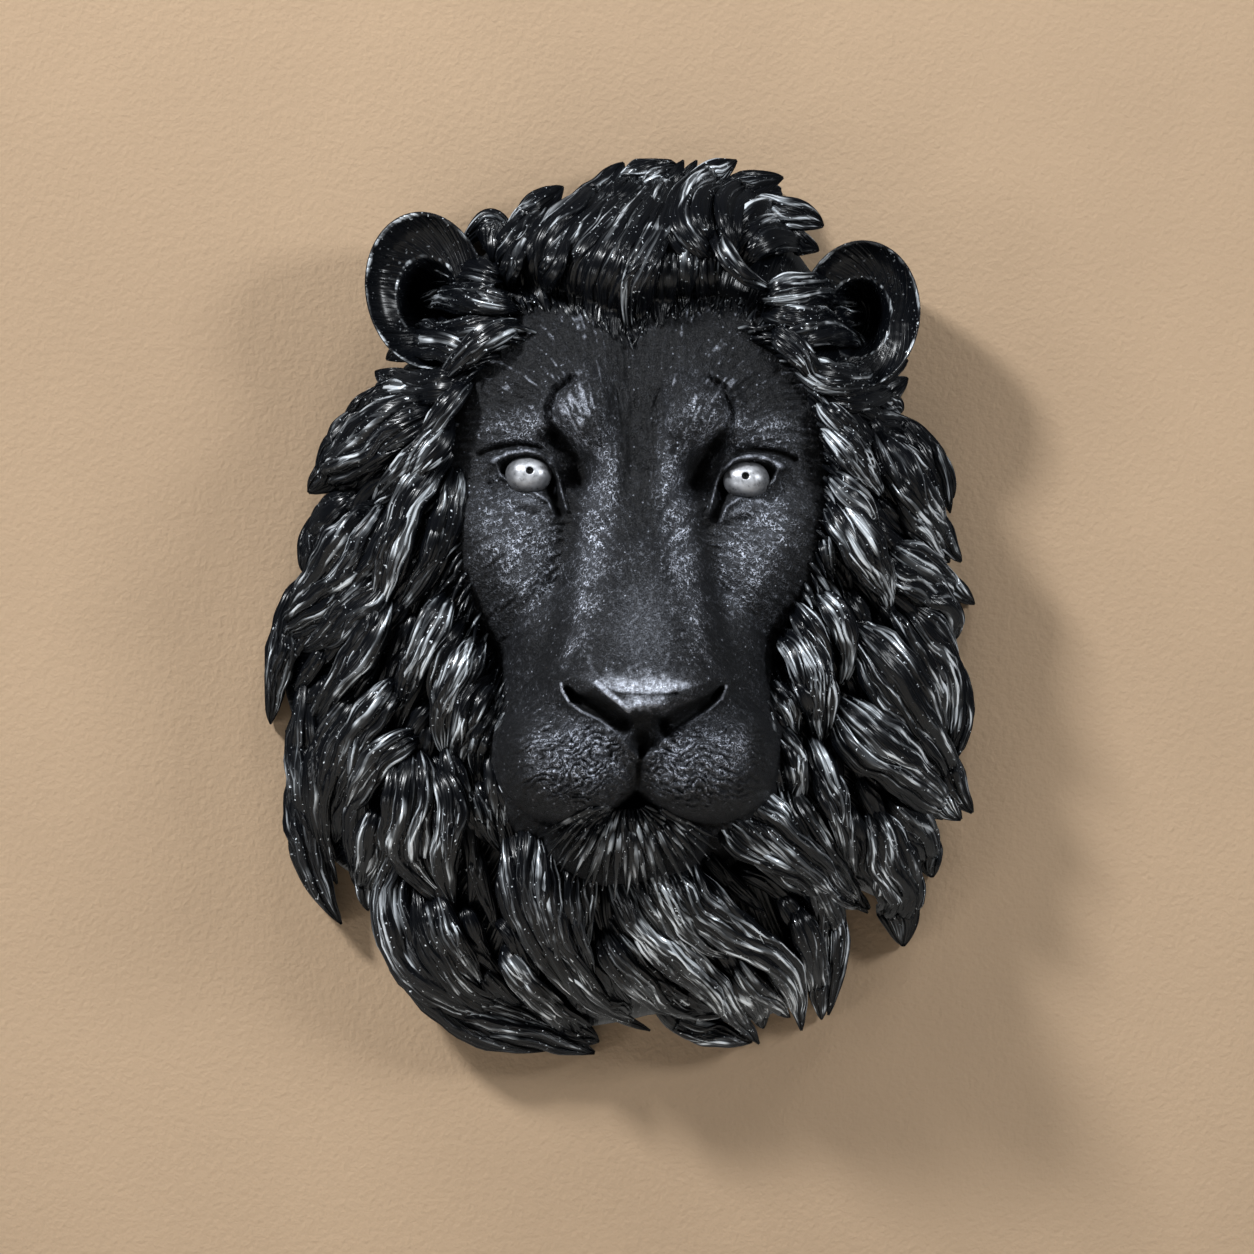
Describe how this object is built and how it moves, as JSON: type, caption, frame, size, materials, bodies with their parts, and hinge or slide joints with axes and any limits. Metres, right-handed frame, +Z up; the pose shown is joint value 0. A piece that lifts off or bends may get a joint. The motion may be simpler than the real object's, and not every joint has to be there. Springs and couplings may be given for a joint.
{
  "type": "animal head wall mask",
  "caption": "Lion's face with a full swept mane, cast in one piece with a flat back, made to hang against a wall as an ornament.",
  "frame": {"origin": "on the flat back, against the wall, behind the bridge of the nose", "axes": "+Z up the wall, +X to the right as seen from in front, -Y out of the wall, the way the face looks"},
  "size_m": [0.3184, 0.152, 0.4016],
  "materials": {
    "black_resin": "satin",
    "silver_paint": "satin"
  },
  "bodies": {
    "root": {"lion_head": "black_resin"}
  },
  "joints": []
}
